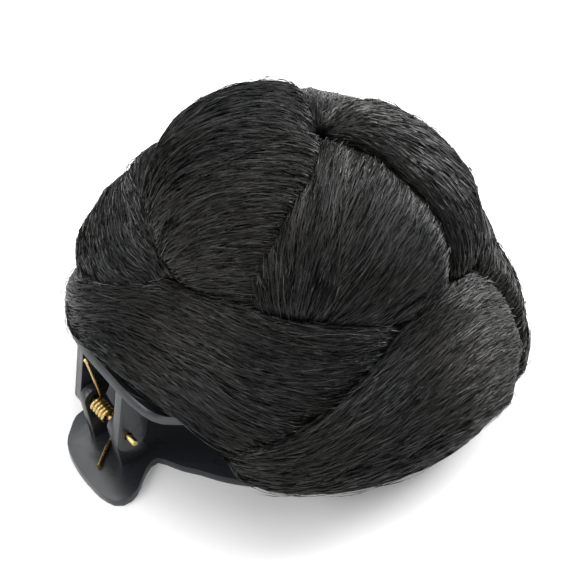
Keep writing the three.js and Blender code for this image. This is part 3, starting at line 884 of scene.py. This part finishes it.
def grained_material(name, colours, coarse, fine, relief, gloss=None):
    """A finish whose tone follows a coarse grain and whose relief follows a fine one.

    Relief is a bump's strength and height in metres. Gloss is the least and greatest roughness,
    where that follows the coarse grain as well."""
    material, tree, shader = new_material(name)
    link = tree.links.new
    place = add_node(tree, "ShaderNodeTexCoord")
    grain = place_group(tree, grain_group(), Coarse=coarse, Fine=fine)
    dark, light = ((*colour, 1) for colour in colours)
    tone = add_node(tree, "ShaderNodeMix", {"A": dark, "B": light}, data_type="RGBA")
    strength, height = relief
    bump = add_node(tree, "ShaderNodeBump", {"Strength": strength, "Distance": height})
    link(place.outputs["Object"], grain.inputs["Place"])
    link(grain.outputs["Mask"], tone.inputs["Factor"])
    link(tone.outputs["Result"], shader.inputs["Base Color"])
    link(grain.outputs["Height"], bump.inputs["Height"])
    link(bump.outputs["Normal"], shader.inputs["Normal"])
    if gloss:
        values = {"From Min": 0.3, "From Max": 0.7, "To Min": gloss[0], "To Max": gloss[1]}
        rough = add_node(tree, "ShaderNodeMapRange", values)
        link(grain.outputs["Mask"], rough.inputs["Value"])
        link(rough.outputs["Result"], shader.inputs["Roughness"])
    return material, shader


def pad_material():
    """Matt black net cloth on the pad's hidden side."""
    colours = (0.008, 0.008, 0.009), (0.02, 0.019, 0.019)
    material, shader = grained_material("Pad cloth", colours, 60.0, 2600.0, (0.7, 0.0003))
    shader.inputs["Roughness"].default_value = 0.9
    return material


def plastic_material(settings):
    """Satin slate-grey moulded plastic with faint flow marks."""
    plastic = tuple(settings.plastic)
    colours = plastic, tuple(1.2 * value for value in plastic)
    relief, gloss = (0.15, 0.0001), (0.24, 0.34)
    return grained_material("Clip plastic", colours, 90.0, 1400.0, relief, gloss)[0]


def brass_material(settings):
    """Drawn brass wire, a little darker in places."""
    brass = tuple(settings.brass)
    colours = tuple(0.6 * value for value in brass), brass
    relief, gloss = (0.2, 0.00005), (0.18, 0.34)
    material, shader = grained_material("Drawn brass", colours, 260.0, 5000.0, relief, gloss)
    shader.inputs["Metallic"].default_value = 1.0
    return material


def dress_locks(names, settings):
    """Replace locks by bodies of massed hair, with loose fibres on each."""
    mass = bpy.data.materials.get("Massed hair") or hair_body_material(settings)
    loose = bpy.data.materials.get("Hair fibre") or fibre_material(settings)
    for name in names:
        lock = Lock(name)
        body = model_lock(lock, mass)
        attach(body, "bun")
        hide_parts(name)
        fibres = lay_fibres(lock, settings, loose)
        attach(fibres, "bun")


class HAIRPIECE_OT_ring_locks(bpy.types.Operator):
    """Lay the five overlapping locks of the ring, with their fibres"""

    bl_idname = "hairpiece.ring_locks"
    bl_label = "Ring locks"

    def execute(self, context):
        dress_locks(RING_LOCKS, context.scene.hairpiece_hair)
        return {"FINISHED"}


class HAIRPIECE_OT_crown_locks(bpy.types.Operator):
    """Lay the four locks of the crown, with their fibres"""

    bl_idname = "hairpiece.crown_locks"
    bl_label = "Crown locks"

    def execute(self, context):
        dress_locks(CROWN_LOCKS, context.scene.hairpiece_hair)
        return {"FINISHED"}


class HAIRPIECE_OT_pad(bpy.types.Operator):
    """Cover the pad that carries the locks"""

    bl_idname = "hairpiece.pad"
    bl_label = "Pad"

    def execute(self, context):
        deselect()
        pad = frame["nodes"]["bun_pad"].copy()
        pad.data = pad.data.copy()
        pad.parent = None
        for key in list(pad.keys()):
            del pad[key]
        pad.name = pad.data.name = "bun_pad_cloth"
        context.collection.objects.link(pad)
        context.view_layer.objects.active = pad
        pad.select_set(True)
        bpy.ops.object.mode_set(mode="EDIT")
        bpy.ops.mesh.select_all(action="SELECT")
        bpy.ops.mesh.remove_doubles(threshold=DOUBLE_POINT)
        bpy.ops.object.mode_set(mode="OBJECT")
        remesh = pad.modifiers.new("Even", "REMESH")
        remesh.mode = "VOXEL"
        remesh.voxel_size = 0.002
        bpy.ops.object.modifier_apply(modifier=remesh.name)
        relax = pad.modifiers.new("Relax", "SMOOTH")
        relax.iterations = 3
        bpy.ops.object.modifier_apply(modifier=relax.name)
        bpy.ops.object.shade_smooth()
        pad.data.materials.clear()
        pad.data.materials.append(pad_material())
        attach(pad, "bun")
        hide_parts("bun_pad")
        return {"FINISHED"}


class HAIRPIECE_OT_clip(bpy.types.Operator):
    """Finish the two clip halves and the hinge pin"""

    bl_idname = "hairpiece.clip"
    bl_label = "Clip"

    def execute(self, context):
        settings = context.scene.hairpiece_clip
        plastic = plastic_material(settings)
        brass = bpy.data.materials.get("Drawn brass") or brass_material(settings)
        finishes = {"upper_clip_half": plastic, "lower_clip_half": plastic, "hinge_pin": brass}
        for name, material in finishes.items():
            node = frame["nodes"][name]
            node.data.materials.clear()
            node.data.materials.append(material)
            weld = node.modifiers.new("Weld", "WELD")
            weld.merge_threshold = DOUBLE_POINT
            bevel = node.modifiers.new("Moulded edge", "BEVEL")
            bevel.width = settings.edge if material == plastic else settings.edge / 2
            bevel.segments = 3
            bevel.limit_method = "ANGLE"
            bevel.angle_limit = math.radians(35)
            bevel.harden_normals = True
            for polygon in node.data.polygons:
                polygon.use_smooth = True
        return {"FINISHED"}


# Legs of the spring, one row a point: x in coil radii, y past the coil's end in coil radii, and
# height in shares of the way from the hinge axis to where the wire rests on its plate
UPPER_LEG = [(-0.68, 0.42, 1), (-0.63, 0.16, 1), (-0.47, 0.05, 0.93), (0.32, 0.05, 0.5)]
LOWER_LEG = [
    (1.1, 0.13, 0.25),
    (1.22, 1.08, 0.6),
    (1.1, 1.87, 0.94),
    (0.5, 1.82, 1),
    (-3.58, -1.24, 1),
]


def spring_points():
    """Points along the wire about the hinge, in millimetres: upper leg, coil and lower leg."""
    coil, half = COIL_RADIUS, HALF_COIL
    rest = WIRE_RADIUS + SEAT_GAP
    points = []
    for across, past, share in UPPER_LEG:
        x = across * coil
        points.append((x, half + past * coil, share * upper_level(x, PLATE + rest)))
    for i in range(SPRING_TURNS * TURN_POINTS + 1):
        angle = 2 * math.pi * i / TURN_POINTS
        y = half - SPRING_PITCH * i / TURN_POINTS
        points.append((coil * math.cos(angle), y, -coil * math.sin(angle)))
    for across, past, share in LOWER_LEG:
        z = share * (PLATE - HINGE_HEIGHT + rest)
        points.append((across * coil, -half + past * coil, z))
    return points


def centripetal(points, steps):
    """Points along a smooth curve through points, spaced as the part's source spaces them."""
    points = [Vector(p) for p in points]
    ends = [2 * points[0] - points[1], *points, 2 * points[-1] - points[-2]]
    route = []
    for i in range(len(points) - 1):
        p0, p1, p2, p3 = ends[i : i + 4]
        d0, d1, d2 = (max((b - a).length ** 0.5, 1e-4) for a, b in ((p0, p1), (p1, p2), (p2, p3)))
        m1 = ((p1 - p0) / d0 - (p2 - p0) / (d0 + d1) + (p2 - p1) / d1) * d1
        m2 = ((p2 - p1) / d1 - (p3 - p1) / (d1 + d2) + (p3 - p2) / d2) * d1
        for k in range(steps):
            w = k / steps
            cubic = (2 * p1 - 2 * p2 + m1 + m2) * w**3 + (-3 * p1 + 3 * p2 - 2 * m1 - m2) * w**2
            route.append(cubic + m1 * w + p1)
    return [*route, points[-1]]


class HAIRPIECE_OT_spring(bpy.types.Operator):
    """Wind the brass torsion spring round the pin"""

    bl_idname = "hairpiece.spring"
    bl_label = "Spring"

    def execute(self, context):
        deselect()
        bpy.ops.curve.primitive_nurbs_path_add()
        wire = context.object
        wire.name = wire.data.name = "torsion_spring_wire"
        wire.data.splines.clear()
        route = centripetal(spring_points(), WIRE_STEPS)
        line = wire.data.splines.new("POLY")
        line.points.add(len(route) - 1)
        for point, place in zip(line.points, route):
            point.co = (*in_row(np.array(place)), 1)
        wire.data.bevel_depth = WIRE_RADIUS / 1000
        wire.data.bevel_resolution = 4
        wire.data.use_fill_caps = True
        bpy.ops.object.convert(target="MESH")
        bpy.ops.object.shade_smooth()
        wire = context.object
        wire.data.materials.clear()
        settings = context.scene.hairpiece_clip
        brass = bpy.data.materials.get("Drawn brass") or brass_material(settings)
        wire.data.materials.append(brass)
        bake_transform(wire)
        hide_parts("torsion_spring")
        return {"FINISHED"}


# Camera: about the hinge in millimetres, with the direction that it looks in
CAMERA_PLACE = (-131.06, -244.8, 319.87)
CAMERA_BEARING = math.radians(51)
CAMERA_FALL = math.radians(45)
CAMERA_LENS = 93.1

# Soft lights that point at the middle: place and size in metres, and share of the lights' power
LIGHTS = {
    "key": ((-0.1, -0.5, 1.3), 1.0, 0.25),
    "top": ((0.3, 0.4, 1.4), 1.4, 0.82),
    "right": ((1.3, -0.1, 0.7), 1.0, 1.5),
    "left": ((-1.2, 0.2, 0.8), 0.9, 0.45),
}


class HAIRPIECE_OT_stage(bpy.types.Operator):
    """Set the pale floor, the soft studio lights and the camera"""

    bl_idname = "hairpiece.stage"
    bl_label = "Stage"

    def execute(self, context):
        settings = context.scene.hairpiece_stage
        deselect()
        bpy.ops.mesh.primitive_plane_add(size=12)
        floor = context.object
        floor.name = floor.data.name = "floor"
        material, _, shader = new_material("Pale floor")
        shader.inputs["Base Color"].default_value = (*settings.floor, 1)
        shader.inputs["Roughness"].default_value = 0.8
        shader.inputs["Specular IOR Level"].default_value = 0.1
        floor.data.materials.append(material)
        for name, (place, size, share) in LIGHTS.items():
            bpy.ops.object.light_add(type="AREA", location=place)
            light = context.object
            light.name = light.data.name = name
            light.data.size = size
            light.data.energy = settings.key * share
            light.rotation_euler = (-Vector(place)).to_track_quat("-Z", "Y").to_euler()
        world = bpy.data.worlds.new("Studio")
        world.use_nodes = True
        background = next(node for node in world.node_tree.nodes if node.type == "BACKGROUND")
        background.inputs["Color"].default_value = (1, 1, 1, 1)
        background.inputs["Strength"].default_value = settings.fill
        context.scene.world = world
        context.scene.view_settings.view_transform = "Standard"
        level = math.cos(CAMERA_FALL)
        ahead, aside = level * math.cos(CAMERA_BEARING), level * math.sin(CAMERA_BEARING)
        look = Vector((ahead, aside, -math.sin(CAMERA_FALL)))
        bpy.ops.object.camera_add(location=Vector(in_row(np.array(CAMERA_PLACE))))
        camera = context.object
        camera.rotation_euler = look.to_track_quat("-Z", "Y").to_euler()
        camera.data.sensor_width = 36
        camera.data.lens = CAMERA_LENS
        camera.data.clip_start = 0.01
        context.scene.camera = camera
        return {"FINISHED"}


class HAIRPIECE_PT_panel(bpy.types.Panel):
    bl_idname = "HAIRPIECE_PT_panel"
    bl_label = "Hairpiece"
    bl_space_type = "VIEW_3D"
    bl_region_type = "UI"
    bl_category = "Hairpiece"

    def draw(self, context):
        layout = self.layout
        for group in SETTINGS:
            settings = getattr(context.scene, group)
            box = layout.box()
            for name in settings.__annotations__:
                box.prop(settings, name)
        for operator in OPERATORS:
            layout.operator(operator.bl_idname)


SETTINGS = {
    "hairpiece_hair": HairSettings,
    "hairpiece_clip": ClipSettings,
    "hairpiece_stage": StageSettings,
}
OPERATORS = (
    HAIRPIECE_OT_stage,
    HAIRPIECE_OT_ring_locks,
    HAIRPIECE_OT_crown_locks,
    HAIRPIECE_OT_pad,
    HAIRPIECE_OT_clip,
    HAIRPIECE_OT_spring,
)
CLASSES = (*SETTINGS.values(), *OPERATORS, HAIRPIECE_PT_panel)


def register():
    for cls in CLASSES:
        bpy.utils.register_class(cls)
    for name, cls in SETTINGS.items():
        setattr(bpy.types.Scene, name, PointerProperty(type=cls))


def unregister():
    for name in SETTINGS:
        delattr(bpy.types.Scene, name)
    for cls in reversed(CLASSES):
        bpy.utils.unregister_class(cls)


def main():
    register()
    bpy.ops.hairpiece.stage()
    bpy.ops.hairpiece.ring_locks()
    bpy.ops.hairpiece.crown_locks()
    bpy.ops.hairpiece.pad()
    bpy.ops.hairpiece.clip()
    bpy.ops.hairpiece.spring()
    deselect()


if __name__ == "__main__":
    main()
